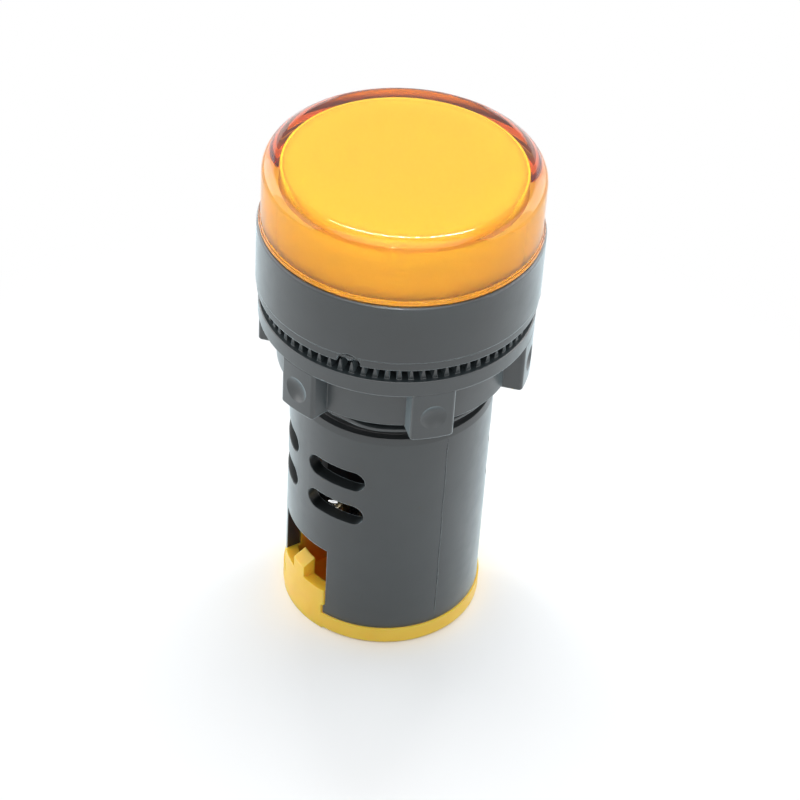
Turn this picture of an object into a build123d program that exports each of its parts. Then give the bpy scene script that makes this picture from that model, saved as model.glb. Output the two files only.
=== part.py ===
from build123d import *
import os

os.makedirs("parts", exist_ok=True)

# Panel pilot light for a 22 mm hole, in millimetres
# The origin is the centre of the rear face. +Z runs up through the lens.
# The two wire windows face -X and +X.

# Clearances
slip_fit = 0.10        # parts that plug into each other
running_fit = 0.05     # screw in its tapped collar
thread_relief = 0.88   # nut bore outside the root of the neck's thread
cut_past = 1.0         # how far a cut runs on past its wall
sink = 0.1             # how far a joined form runs into its neighbour

# Rear rim and barrel
rim_radius = 10.85
rim_height = 2.1
rim_round = 0.35
barrel_setback = 0.20  # the barrel's skin lies inside the rim
barrel_wall = 1.45
barrel_length = 26.6
shoulder_band = 0.8
shoulder_step = 0.15

# Neck, drawn at the root of its thread
root_depth = 0.50      # root below the barrel's skin
neck_length = 12.0
relief_height = 1.0    # groove where the thread runs out
relief_depth = 0.45

# Bezel
bezel_radius = 14.5
bezel_height = 7.7
bezel_wall = 1.4
bezel_floor = 2.5
foot_height = 1.0      # below the parting line
foot_setback = 0.12
bezel_round = 0.30
gate_angle = -142.5
gate_radius = 1.25
gate_depth = 0.9
gate_stub = 0.55
gate_stub_level = 0.62
gate_stub_depth = 0.75

# Vent slots, two rows beside each window
slot_length = 6.9
slot_height = 2.5
slot_pitch = 4.6
slot_rows = 2
slot_rise = 6.45       # first row above the window
slot_angle = 24.7      # each side of the window

# Wire windows
window_width = 8.06
window_height = 9.15
snap_reach = 0.25      # barrel's feet at the lower corners
snap_height = 1.15

# Lens cap
lens_height = 7.3
lens_setback = 0.40    # inside the bezel's skin
lens_wall = 1.8
lens_roof = 1.4
lens_round = 1.6
lip_height = 0.45
lip_reach = 0.22
seal_height = 0.7

# Diffuser and lamp board
diffuser_gap = 0.30    # to the lens cap's wall
diffuser_wall = 1.0
diffuser_round = 0.5
board_thickness = 1.6
chip_size = 2.8
chip_height = 0.9
chip_offset = 6.4      # from the middle chip to the others
chip_count = 6

# Terminal carrier
carrier_floor = 1.9
carrier_top = 12.0
partition = 1.8
pocket_width = 7.4
pocket_wall = 1.2
window_wall = 1.4
shoulder_height = 5.45
tab_height = 7.65
tab_slope = 0.75       # fall of its top towards the outside
tab_width = 2.0
guide_width = 4.8      # posts that hold the upright board
guide_height = 2.6

# Terminal plates, clamps and screws
screw_offset = 4.2
plate_level = 8.0
plate_thickness = 0.8
plate_reach = 6.8
groove_depth = 0.5
collar_wall = 0.8
collar_height = 1.2
leg_offset = 7.8
leg_inset = 1.4        # from the board's middle plane
leg_width = 2.2
leg_height = 9.2
bend_radius = 0.4
screw_radius = 1.45
screw_proud = 1.4
head_radius = 2.45
head_height = 1.9
head_round = 0.32
screw_point = 0.72      # length and taper of its point
recess_width = 0.7
recess_depth = 1.1
cross_length = 3.0
driver_radius = 2.25
clamp_gap = 0.1
clamp_thickness = 0.9
clamp_length = 4.8
clamp_width = 6.6
clamp_ridge = 0.25
ridge_inset = 0.8

# Upright supply board and what it carries
supply_thickness = 1.2
supply_side_gap = 1.2  # to the barrel's bore
supply_height = 25.4
supply_gap = 1.2       # above the screw tips
can_radius = 2.5
can_length = 10.5
can_level = 9.5
can_round = 0.42
crimp_level = 1.26
crimp_depth = 0.25
bridge_length = 6.4
bridge_depth = 2.6
bridge_height = 4.6
bridge_level = 3.2
bridge_chamfer = 0.26
bridge_leg_inset = 1.1
resistor_radius = 1.15
resistor_length = 6.4
resistor_face = 1.03   # radius of its flat ends
resistor_waist = 0.92
resistor_bevel = 0.35
resistor_cap = 1.03    # length of its thick ends
resistor_taper = 0.42
resistor_level = 13.0
resistor_spread = 5.6
pin_radius = 0.3
pin_length = 1.12
pin_bend = 0.48
lead_radius = 0.5
lead_spread = 3.0
lead_level = 22.0
lead_straight = 2.75   # at each end
lead_shift_x = 1.2
lead_shift_y = 1.6
lead_bend = 2.5

# Panel gasket and lock nut
gasket_thickness = 1.5
gasket_width = 1.2
tooth_clearance = 0.2  # tooth tips below the gasket's face
tooth_count = 72
tooth_root = 0.54
tooth_tip = 0.12
tooth_setback = 0.5    # outer ends inside the flange's skin
flange_setback = 0.30  # inside the bezel's skin
flange_thickness = 1.9
flange_round = 0.25
nut_wall = 1.17
nut_height = 5.2
lug_count = 6
lug_angle = 13.0       # where the nut was left
lug_width = 4.5
lug_drop = 0.4
lug_round = 0.3
lug_side_round = 0.4
dimple_radius = 2.4
dimple_depth = 0.5

# Heights and radii that follow
barrel_radius = rim_radius - barrel_setback
bore_radius = barrel_radius - barrel_wall
root_radius = barrel_radius - root_depth
shoulder_level = rim_height + barrel_length
panel_level = shoulder_level + neck_length
bezel_top = panel_level + bezel_height
bezel_inner = bezel_radius - bezel_wall
seat_level = panel_level + bezel_floor
board_top = seat_level + board_thickness
window_top = rim_height + window_height
lens_radius = bezel_radius - lens_setback
lens_inner = lens_radius - lens_wall
lens_top = bezel_top + lens_height
lens_ceiling = lens_top - lens_roof
skirt_level = board_top + seal_height
diffuser_radius = lens_inner - diffuser_gap
diffuser_top = lens_ceiling - slip_fit
plug_radius = bore_radius - slip_fit
pocket_radius = rim_radius - window_wall
plate_top = plate_level + plate_thickness
screw_tip = plate_top + collar_height + screw_proud
supply_level = screw_tip + supply_gap
nut_face = panel_level - slip_fit - gasket_thickness
flange_level = nut_face - flange_thickness
nut_level = flange_level - nut_height
nut_bore = root_radius + thread_relief
nut_radius = nut_bore + nut_wall
flange_radius = bezel_radius - flange_setback
gasket_inner = nut_bore + running_fit
gasket_radius = gasket_inner + gasket_width
tooth_start = gasket_radius + slip_fit
supply_width = 2 * (bore_radius - supply_side_gap)


def turned(points, rounds=()):
    # solid turned about Z from a closed section of radius and height, with some corners rounded
    section = make_face(Polyline(*points, close=True))
    for corner, radius in rounds:
        vertex = section.vertices().sort_by_distance((corner[0], corner[1], 0))[0]
        section = fillet(vertex, radius)
    return revolve(Plane.XZ * section, Axis.Z)


def ring(outer, inner, bottom, top):
    # plain ring between two heights
    return turned([(inner, bottom), (outer, bottom), (outer, top), (inner, top)])


def rod(radius, bottom, top):
    # upright round bar on the axis
    return Pos(0, 0, bottom) * Cylinder(radius, top - bottom, align=(Align.CENTER, Align.CENTER, Align.MIN))


def block(x0, x1, y0, y1, z0, z1):
    # box between two corners
    return Pos(x0, y0, z0) * Box(x1 - x0, y1 - y0, z1 - z0, align=(Align.MIN, Align.MIN, Align.MIN))


def both_sides(shape):
    # the same shape at +X and turned to -X
    return [Rot(0, 0, turn) * shape for turn in (0, 180)]


# Housing

def vent_slot(angle, level):
    # round-ended slot through the barrel wall
    sketch = Plane.YZ.offset(bore_radius - cut_past) * SlotOverall(slot_length, slot_height)
    return Rot(0, 0, angle) * Pos(0, 0, level) * extrude(sketch, barrel_wall + 2 * cut_past)


def wire_window():
    # window open at the barrel's lower edge, which keeps a snap foot at each side
    half = window_width / 2
    outer = rim_radius + cut_past
    low = rim_height - cut_past
    opening = block(0, outer, -half, half, low, window_top)
    for side in (-1, 1):
        y0, y1 = sorted((side * half, side * (half - snap_reach)))
        opening -= block(0, outer, y0, y1, low, rim_height + snap_height)
    return opening


def make_housing():
    body = turned(
        [
            (bore_radius, rim_height),
            (barrel_radius, rim_height),
            (barrel_radius, shoulder_level - shoulder_band),
            (barrel_radius - shoulder_step, shoulder_level),
            (root_radius - relief_depth, shoulder_level),
            (root_radius - relief_depth, shoulder_level + relief_height),
            (root_radius, shoulder_level + relief_height),
            (root_radius, panel_level),
            (bezel_radius - foot_setback, panel_level),
            (bezel_radius - foot_setback, panel_level + foot_height),
            (bezel_radius, panel_level + foot_height),
            (bezel_radius, bezel_top),
            (bezel_inner, bezel_top),
            (bezel_inner, seat_level),
            (bore_radius, seat_level),
        ],
        [((bezel_radius, bezel_top), min(bezel_round, bezel_wall / 3))],
    )
    slots = [
        vent_slot(window + side * slot_angle, window_top + slot_rise + row * slot_pitch)
        for window in (0, 180)
        for side in (-1, 1)
        for row in range(slot_rows)
    ]
    body = body - slots - both_sides(wire_window())
    mouth = Pos(bezel_radius, 0, panel_level) * Rot(0, 90, 0) * Cylinder(gate_radius, 2 * gate_depth)
    stub = Pos(bezel_radius - gate_stub_depth, 0, panel_level + gate_stub_level) * Sphere(gate_stub)
    turn = Rot(0, 0, gate_angle)
    return body - turn * mouth + turn * stub


# Lens cap, its seal and the diffuser

def make_lens_cap():
    skirt_radius = bezel_inner - slip_fit
    lip_radius = lens_radius + lip_reach
    points = [
        (lens_inner, skirt_level),
        (skirt_radius, skirt_level),
        (skirt_radius, bezel_top),
        (lip_radius, bezel_top),
        (lip_radius, bezel_top + lip_height),
        (lens_radius, bezel_top + lip_height),
        (lens_radius, lens_top),
        (0, lens_top),
        (0, lens_ceiling),
        (lens_inner, lens_ceiling),
    ]
    rounds = [
        ((lens_radius, lens_top), lens_round),
        ((lens_inner, lens_ceiling), diffuser_round),
        ((lip_radius, bezel_top + lip_height), min(lip_reach, lip_height) / 2),
    ]
    return turned(points, rounds)


def make_diffuser():
    inner = diffuser_radius - diffuser_wall
    points = [
        (inner, board_top),
        (diffuser_radius, board_top),
        (diffuser_radius, diffuser_top),
        (0, diffuser_top),
        (0, diffuser_top - diffuser_wall),
        (inner, diffuser_top - diffuser_wall),
    ]
    return turned(points, [((diffuser_radius, diffuser_top), diffuser_round + slip_fit)])


def make_lamp_chips():
    half = chip_size / 2
    chip = block(-half, half, -half, half, board_top, board_top + chip_height)
    around = [loc * chip for loc in PolarLocations(chip_offset, chip_count)]
    return Compound([chip] + around)


# Terminal carrier

def window_tongue():
    # wall that fills the window up to its shoulders, with the raised tab in the middle
    half = window_width / 2 - slip_fit
    wall = block(0, rim_radius, -half, half, 0, shoulder_height)
    tab = make_face(
        Polyline(
            (0, 0),
            (rim_radius, 0),
            (rim_radius, tab_height - tab_slope),
            (pocket_radius, tab_height),
            (0, tab_height),
            close=True,
        )
    )
    wall += Pos(0, tab_width / 2, 0) * extrude(Plane.XZ * tab, tab_width)
    for side in (-1, 1):
        y0, y1 = sorted((side * (half + cut_past), side * (half - snap_reach)))
        wall -= block(0, rim_radius, y0, y1, rim_height, rim_height + snap_height + slip_fit)
    return wall & rod(rim_radius, 0, tab_height)


def terminal_pocket():
    # room for one clamp, open to the window and at the top
    half = pocket_width / 2
    top = carrier_top + guide_height + cut_past
    room = block(partition / 2, rim_radius, -half, half, carrier_floor, top)
    return room & rod(pocket_radius, carrier_floor, top)


def plate_groove():
    # slots in the pocket's side walls that hold the plate's edges
    half = pocket_width / 2 + groove_depth
    low = plate_level - running_fit
    return block(partition / 2, pocket_radius, -half, half, low, plate_top + running_fit)


def make_terminal_carrier():
    rim = turned(
        [(0, 0), (rim_radius, 0), (rim_radius, rim_height), (0, rim_height)],
        [((rim_radius, 0), min(rim_round, rim_height / 3))],
    )
    plug = rod(plug_radius, 0, carrier_top)
    half = guide_width / 2
    guide = block(-partition / 2, partition / 2, -half, half, 0, carrier_top + guide_height)
    body = rim + plug + guide + both_sides(window_tongue())
    # the thick flanks are cored out from the top
    core_top = carrier_top + cut_past
    core = rod(plug_radius - pocket_wall, carrier_floor, core_top)
    rib = pocket_width / 2 + groove_depth + pocket_wall
    core -= block(-plug_radius, plug_radius, -rib, rib, 0, core_top)
    body -= core
    body = body - both_sides(terminal_pocket()) - both_sides(plate_groove())
    driver_hole = rod(driver_radius, -cut_past, carrier_floor + cut_past)
    body -= both_sides(Pos(screw_offset, 0, 0) * driver_hole)
    slot = (supply_thickness + slip_fit) / 2
    body -= block(-partition, partition, -slot, slot, supply_level, supply_level + supply_height)
    return body


# Terminal plate, clamp and screw, drawn at +X

def terminal_plate():
    half = pocket_width / 2 + groove_depth - slip_fit
    inner = partition / 2 + slip_fit
    plate = block(inner, plate_reach, -half, half, plate_level, plate_top)
    collar_radius = screw_radius + running_fit + collar_wall
    plate += Pos(screw_offset, 0, 0) * rod(collar_radius, plate_level, plate_top + collar_height)
    # solder leg, bent up beside the board
    angle = make_face(
        Polyline(
            (screw_offset, plate_level),
            (leg_offset, plate_level),
            (leg_offset, plate_level + leg_height),
            (leg_offset - plate_thickness, plate_level + leg_height),
            (leg_offset - plate_thickness, plate_top),
            (screw_offset, plate_top),
            close=True,
        )
    )
    outer_corner = angle.vertices().sort_by_distance((leg_offset, plate_level, 0))[0]
    angle = fillet(outer_corner, bend_radius + plate_thickness)
    inner_corner = angle.vertices().sort_by_distance((leg_offset - plate_thickness, plate_top, 0))[0]
    angle = fillet(inner_corner, bend_radius)
    plate += Pos(0, leg_inset + leg_width, 0) * extrude(Plane.XZ * angle, leg_width)
    return plate - Pos(screw_offset, 0, 0) * rod(screw_radius + running_fit, 0, screw_tip)


clamp_top = plate_level - clamp_gap
clamp_level = clamp_top - clamp_thickness
head_level = clamp_level - head_height


def clamp_washer():
    # square clamp with gripping ridges across the wires
    x0 = screw_offset - clamp_length / 2
    x1 = screw_offset + clamp_length / 2
    half = clamp_width / 2
    washer = block(x0, x1, -half, half, clamp_level, clamp_top - clamp_ridge)
    for x in (x0 + ridge_inset, x1 - ridge_inset):
        ridge = Pos(x, half, 0) * extrude(
            Plane.XZ * make_face(
                Polyline(
                    (-clamp_ridge, clamp_top - clamp_ridge),
                    (clamp_ridge, clamp_top - clamp_ridge),
                    (0, clamp_top),
                    close=True,
                )
            ),
            clamp_width,
        )
        washer += ridge
    return washer - Pos(screw_offset, 0, 0) * rod(screw_radius + slip_fit, 0, screw_tip)


def terminal_screw():
    # cheese head with a combined slot and cross, facing the rear
    head = turned(
        [(0, head_level), (head_radius, head_level), (head_radius, clamp_level), (0, clamp_level)],
        [((head_radius, head_level), head_round)],
    )
    shank = turned(
        [(0, clamp_level), (screw_radius, clamp_level), (screw_radius, screw_tip - screw_point),
         (screw_radius - screw_point, screw_tip), (0, screw_tip)]
    )
    half = recess_width / 2
    low = head_level - cut_past
    slot = block(-head_radius, head_radius, -half, half, low, head_level + recess_depth)
    cross = block(-half, half, -cross_length / 2, cross_length / 2, low, head_level + recess_depth)
    return Pos(screw_offset, 0, 0) * (head + shank - slot - cross)


# Supply board and its parts

board_face = supply_thickness / 2


def bent_pin(x, z, side, reach, direction):
    # round leg that leaves a body along Z and turns in to the board's face
    path = FilletPolyline(
        (x, side * reach, z),
        (x, side * reach, z + direction * pin_length),
        (x, side * board_face, z + direction * pin_length),
        radius=pin_bend,
    )
    return sweep(Plane(origin=path @ 0, z_dir=path % 0) * Circle(pin_radius), path)


def make_smoothing_capacitor():
    y = board_face + can_radius + slip_fit
    bottom = supply_level + can_level
    can = turned(
        [(0, bottom), (can_radius, bottom), (can_radius, bottom + can_length), (0, bottom + can_length)],
        [((can_radius, bottom), can_round), ((can_radius, bottom + can_length), can_round)],
    )
    level = bottom + crimp_level
    crimp = turned(
        [(can_radius - crimp_depth, level), (can_radius + crimp_depth, level - 2 * crimp_depth),
         (can_radius + crimp_depth, level + 2 * crimp_depth)]
    )
    body = Pos(0, y, 0) * (can - crimp)
    for x in (-can_radius / 2, can_radius / 2):
        body += bent_pin(x, bottom + pin_radius, 1, y, -1)
    return body


def make_bridge_rectifier():
    z0 = supply_level + bridge_level
    stand_off = board_face + 2 * pin_radius
    half = bridge_length / 2
    body = block(-half, half, stand_off, stand_off + bridge_depth, z0, z0 + bridge_height)
    body = chamfer(body.edges().filter_by(Axis.Z), bridge_chamfer)
    leg_x = half - bridge_leg_inset
    for x in (-leg_x, leg_x):
        for z in (z0 + bridge_leg_inset, z0 + bridge_height - bridge_leg_inset):
            body += block(x - pin_radius, x + pin_radius, board_face, stand_off + pin_radius, z - pin_radius,
                          z + pin_radius)
    return body


def make_dropping_resistors():
    y = board_face + resistor_radius + slip_fit
    bottom = supply_level + resistor_level
    resistors = []
    for x in (-resistor_spread / 2, resistor_spread / 2):
        top = bottom + resistor_length
        waist_start = resistor_cap + resistor_taper
        body = turned(
            [(0, bottom), (resistor_face, bottom), (resistor_radius, bottom + resistor_bevel),
             (resistor_radius, bottom + resistor_cap), (resistor_waist, bottom + waist_start),
             (resistor_waist, top - waist_start), (resistor_radius, top - resistor_cap),
             (resistor_radius, top - resistor_bevel), (resistor_face, top), (0, top)]
        )
        body = Pos(x, -y, 0) * body
        body += bent_pin(x, bottom + pin_radius, -1, y, -1)
        body += bent_pin(x, top - pin_radius, -1, y, 1)
        resistors.append(body)
    return Compound(resistors)


def make_lead(side):
    # short wire from the supply board up to the lamp board
    y = board_face + lead_radius + running_fit
    start = supply_level + lead_level
    x1 = lead_spread + lead_shift_x
    y1 = y + lead_shift_y
    points = [
        (side * lead_spread, side * y, start),
        (side * lead_spread, side * y, start + lead_straight),
        (side * x1, side * y1, seat_level - lead_straight),
        (side * x1, side * y1, seat_level),
    ]
    route = FilletPolyline(*points, radius=lead_bend)
    return sweep(Plane(origin=route @ 0, z_dir=route % 0) * Circle(lead_radius), route)


# Panel gasket and lock nut

def nut_tooth():
    # one radial tooth: a wedge that narrows from root to tip
    height = gasket_thickness - tooth_clearance
    wedge = make_face(
        Polyline(
            (-tooth_root / 2, -flange_round),
            (tooth_root / 2, -flange_round),
            (tooth_root / 2, 0),
            (tooth_tip / 2, height),
            (-tooth_tip / 2, height),
            (-tooth_root / 2, 0),
            close=True,
        )
    )
    tooth_length = flange_radius - tooth_setback - tooth_start
    return Pos(0, 0, nut_face) * extrude(Plane.YZ.offset(tooth_start) * wedge, tooth_length)


def nut_lug():
    # grip lug with a moulded dimple in its face
    inner = nut_bore + nut_wall / 2
    low = nut_level - lug_drop
    lug = block(inner, flange_radius, -lug_width / 2, lug_width / 2, low, flange_level + sink)
    lug = lug & rod(flange_radius, low, flange_level + sink)
    side_edges = lug.edges().filter_by(Axis.Z).group_by(Axis.X)[-1]
    lug = fillet(side_edges, lug_side_round)
    lower_edges = [edge for edge in lug.edges().group_by(Axis.Z)[0] if edge.center().X > nut_radius]
    lug = fillet(lower_edges, lug_round)
    middle = (low + flange_level) / 2
    lug -= Pos(flange_radius + dimple_radius - dimple_depth, 0, middle) * Sphere(dimple_radius)
    return lug


def make_lock_nut():
    body = turned(
        [
            (nut_bore, nut_level),
            (nut_radius, nut_level),
            (nut_radius, flange_level),
            (flange_radius, flange_level),
            (flange_radius, nut_face),
            (nut_bore, nut_face),
        ],
        [((flange_radius, flange_level), flange_round), ((flange_radius, nut_face), flange_round / 2)],
    )
    lug = nut_lug()
    tooth = nut_tooth()
    lugs = [Rot(0, 0, lug_angle + i * 360 / lug_count) * lug for i in range(lug_count)]
    teeth = [Rot(0, 0, lug_angle + i * 360 / tooth_count) * tooth for i in range(tooth_count)]
    return body + lugs + teeth


nodes = {
    "housing": make_housing(),
    "lens_cap": make_lens_cap(),
    "diffuser": make_diffuser(),
    "lens_seal": ring(bezel_inner - slip_fit, lens_inner, board_top, skirt_level),
    "lamp_board": rod(bezel_inner - slip_fit, seat_level, board_top),
    "lamp_chips": make_lamp_chips(),
    "terminal_carrier": make_terminal_carrier(),
    "supply_board": block(-supply_width / 2, supply_width / 2, -board_face, board_face, supply_level,
                          supply_level + supply_height),
    "bridge_rectifier": make_bridge_rectifier(),
    "smoothing_capacitor": make_smoothing_capacitor(),
    "dropping_resistors": make_dropping_resistors(),
    "lead_positive": make_lead(1),
    "lead_negative": make_lead(-1),
    "panel_gasket": ring(gasket_radius, gasket_inner, nut_face, nut_face + gasket_thickness),
    "lock_nut": make_lock_nut(),
}
for side, turn in (("right", 0), ("left", 180)):
    nodes["terminal_plate_" + side] = Rot(0, 0, turn) * terminal_plate()
    nodes["clamp_washer_" + side] = Rot(0, 0, turn) * clamp_washer()
    nodes["terminal_screw_" + side] = Rot(0, 0, turn) * terminal_screw()

for name, shape in nodes.items():
    export_step(shape, "parts/" + name + ".step")
    print(name, round(shape.volume, 2))
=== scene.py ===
import bmesh
import bpy
import math
import numpy as np
from mathutils import Matrix


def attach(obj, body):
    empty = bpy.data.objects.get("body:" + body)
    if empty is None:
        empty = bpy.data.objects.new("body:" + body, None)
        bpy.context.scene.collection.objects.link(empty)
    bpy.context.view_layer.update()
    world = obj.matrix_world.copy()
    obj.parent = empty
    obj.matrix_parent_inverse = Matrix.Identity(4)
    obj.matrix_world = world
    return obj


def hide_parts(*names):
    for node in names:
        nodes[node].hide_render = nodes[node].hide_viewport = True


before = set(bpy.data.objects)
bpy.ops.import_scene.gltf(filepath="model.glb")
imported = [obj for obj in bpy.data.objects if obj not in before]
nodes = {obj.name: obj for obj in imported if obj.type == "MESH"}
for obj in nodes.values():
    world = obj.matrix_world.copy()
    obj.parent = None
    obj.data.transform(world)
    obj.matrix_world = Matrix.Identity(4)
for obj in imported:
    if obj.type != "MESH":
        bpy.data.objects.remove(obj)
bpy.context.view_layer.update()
scene = bpy.context.scene
mm = 0.001
print("frame loaded,", len(nodes), "nodes")


# Small helpers

def hexToLinear(text):
    # an sRGB hex colour as linear red, green, blue and alpha
    shares = [int(text[i:i + 2], 16) / 255 for i in (1, 3, 5)]
    return (*[s / 12.92 if s <= 0.04045 else ((s + 0.055) / 1.055) ** 2.4 for s in shares], 1.0)


def addNode(tree, kind, values={}, links={}, **attributes):
    # one shader node with its attributes, socket values and links; a hex value is a colour, and a link that names a
    # node takes its first output
    node = tree.nodes.new("ShaderNode" + kind)
    for name, value in attributes.items():
        setattr(node, name, value)
    for socket, value in values.items():
        node.inputs[socket].default_value = hexToLinear(value) if isinstance(value, str) else value
    for socket, source in links.items():
        tree.links.new(source if isinstance(source, bpy.types.NodeSocket) else source.outputs[0], node.inputs[socket])
    return node


def startMaterial(name):
    # an empty material and the object's own coordinates in millimetres
    material = bpy.data.materials.new(name)
    material.use_nodes = True
    tree = material.node_tree
    tree.nodes.clear()
    coords = addNode(tree, "TexCoord")
    return material, tree, addNode(tree, "Mapping", {"Scale": (1000, 1000, 1000)}, {"Vector": coords.outputs["Object"]})


def fromAxis(tree, place):
    # a point's distance from the lamp's axis, in mm
    level = addNode(tree, "VectorMath", {1: (1, 1, 0)}, {0: place}, operation="MULTIPLY")
    return addNode(tree, "VectorMath", {}, {0: level}, operation="LENGTH").outputs["Value"]


def seenDirectly(tree):
    # 1 for what the camera sees straight, in a gloss or through glass, and 0 for the light that falls on a surface
    rays = addNode(tree, "LightPath")
    seen = addNode(tree, "Math", {}, {0: rays.outputs["Is Camera Ray"], 1: rays.outputs["Is Glossy Ray"]},
                   operation="MAXIMUM")
    return addNode(tree, "Math", {}, {0: seen, 1: rays.outputs["Is Transmission Ray"]}, operation="MAXIMUM")


# Materials

# each look's colour for deep faces is painted shade in the moulding's hollows; in the yellow it is a deeper orange for
# the light bounced inside
absLook = {
    "colour": "#1F272A", "flowColour": "#1A2124", "rubAndHighlightColour": "#6A7072", "dustColour": "#B9BDBD",
    "hollowShadeColour": "#0A0B0C", "hollowShadeFromMm": 10.58, "hollowShadeToMm": 10.2, "shadeColour": "#060607", "shadeFromMm": 12.0,
    "shadeToMm": 13.5,
    "flowMm": 6.0, "flowDepthMm": 0.02, "grainMm": 0.22, "grainDepthMm": 0.004, "edgeMm": 0.16, "dustMm": 3.2,
    "patchMm": 1.6, "roughLow": 0.28, "roughHigh": 0.38, "ior": 1.53, "scatter": 0.0, "specular": 0.84, "sheen": 0.95,
}
nutLook = {
    "colour": "#232B2E", "flowColour": "#1F2629", "rubAndHighlightColour": "#727879", "dustColour": "#A9ADAD",
    "hollowShadeColour": "#0C0D0E", "hollowShadeFromMm": 11.4, "hollowShadeToMm": 11.0, "shadeColour": "#08090A", "shadeFromMm": 12.0,
    "shadeToMm": 13.5,
    "flowMm": 4.0, "flowDepthMm": 0.02, "grainMm": 0.22, "grainDepthMm": 0.005, "edgeMm": 0.14, "dustMm": 4.0,
    "patchMm": 1.4, "roughLow": 0.30, "roughHigh": 0.40, "ior": 1.53, "scatter": 0.0, "specular": 0.93, "sheen": 1.0,
}
yellowLook = {
    "colour": "#F6C640", "flowColour": "#F2BF39", "rubAndHighlightColour": "#F6DC86", "dustColour": "#F8E9BB",
    "hollowShadeColour": "#FC9A1A", "hollowShadeFromMm": 9.6, "hollowShadeToMm": 8.4, "shadeColour": "#160A03", "shadeFromMm": 10.7,
    "shadeToMm": 11.5,
    "flowMm": 5.0, "flowDepthMm": 0.02, "grainMm": 0.25, "grainDepthMm": 0.003, "edgeMm": 0.14, "dustMm": 5.0,
    "patchMm": 1.6, "roughLow": 0.30, "roughHigh": 0.40, "ior": 1.55, "scatter": 0.5, "specular": 0.5, "sheen": 0.0,
}
# what the three have in common; an edge counts from its cosine at edgeStart to edgeFull, and specks are shares of
# the dust's spacing
# the rub's patches and strength below make the paler edges, partly wear and partly a painted highlight
mould = {
    "edgeStart": 0.995, "edgeFull": 0.86, "rubHighlightPatchMm": 0.8, "rubHighlightLow": 0.05, "rubHighlightHigh": 0.35, "speckFull": 0.014,
    "speckEnd": 0.024, "speckShare": 0.7, "reach": (0.0030, 0.0012, 0.0002), "sheenRough": 0.34,
    "sheenTint": "#DDF1F8",
}


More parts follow.
